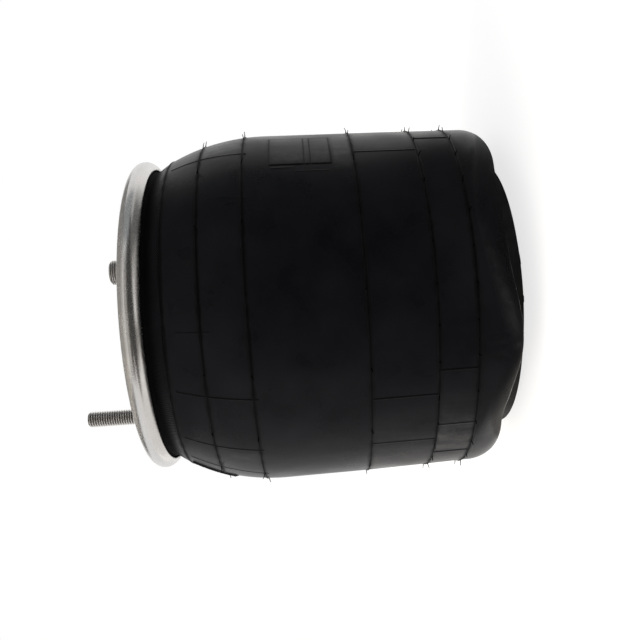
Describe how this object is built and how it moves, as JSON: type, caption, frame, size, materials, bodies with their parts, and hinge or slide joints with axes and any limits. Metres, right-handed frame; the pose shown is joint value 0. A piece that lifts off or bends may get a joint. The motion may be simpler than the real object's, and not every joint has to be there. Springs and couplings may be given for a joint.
{
  "type": "rolling-lobe air spring",
  "caption": "Rolling-lobe air spring: rubber sleeve crimped into a studded steel plate and folded over a moulded piston, for air suspension and lifting.",
  "frame": {"origin": "centre of the piston's foot, on the surface that it stands on", "axes": "+Z along the stroke, from the piston's foot to the bead plate; the two studs lie on the X axis, the air stud on +X"},
  "size_m": [0.2646, 0.2646, 0.3345],
  "materials": {
    "zinc_sheet": "satin zinc plate on rolled sheet",
    "zinc_stud": "bright zinc plate on rolled thread",
    "bead_wire": "bronze-coated wire",
    "cover_rubber": "moulded, satin, slightly dusty",
    "ply_cord": "rubberised cord",
    "liner_rubber": "smooth",
    "inner_steel": "zinc plate",
    "bumper_rubber": "moulded, matt",
    "piston_plastic": "moulded glass-filled plastic, satin",
    "insert_brass": "turned"
  },
  "bodies": {
    "lower_end": {"piston": "piston_plastic", "base_insert_left": "insert_brass", "base_insert_right": "insert_brass", "compression_tube": "inner_steel", "piston_washer": "inner_steel", "piston_nut": "inner_steel", "centre_stud": "inner_steel", "end_closure": "inner_steel", "lower_bead_wire": "bead_wire", "bumper": "bumper_rubber", "bumper_washer": "inner_steel", "bumper_nut": "inner_steel"},
    "upper_end": {"bead_plate": "zinc_sheet", "mounting_stud": "zinc_stud", "air_stud": "zinc_stud", "upper_bead_wire": "bead_wire"},
    "sleeve": {"outer_cover": "cover_rubber", "second_ply": "ply_cord", "first_ply": "ply_cord", "inner_liner": "liner_rubber"}
  },
  "joints": [
    {"name": "stroke", "type": "slide", "parent": "lower_end", "child": "upper_end", "axis": [0, 0, 1], "range_m": [-0.008, 0.2], "stiffness_N_per_m": 9000, "springref_m": 0.004, "deforming": ["outer_cover", "second_ply", "first_ply", "inner_liner"]},
    {"name": "lobe_roll", "type": "slide", "parent": "upper_end", "child": "sleeve", "axis": [0, 0, -1], "range_m": [-0.004, 0.1]}
  ],
  "couplings": [
    {"joint": "lobe_roll", "follows": "stroke", "ratio": 0.5}
  ]
}
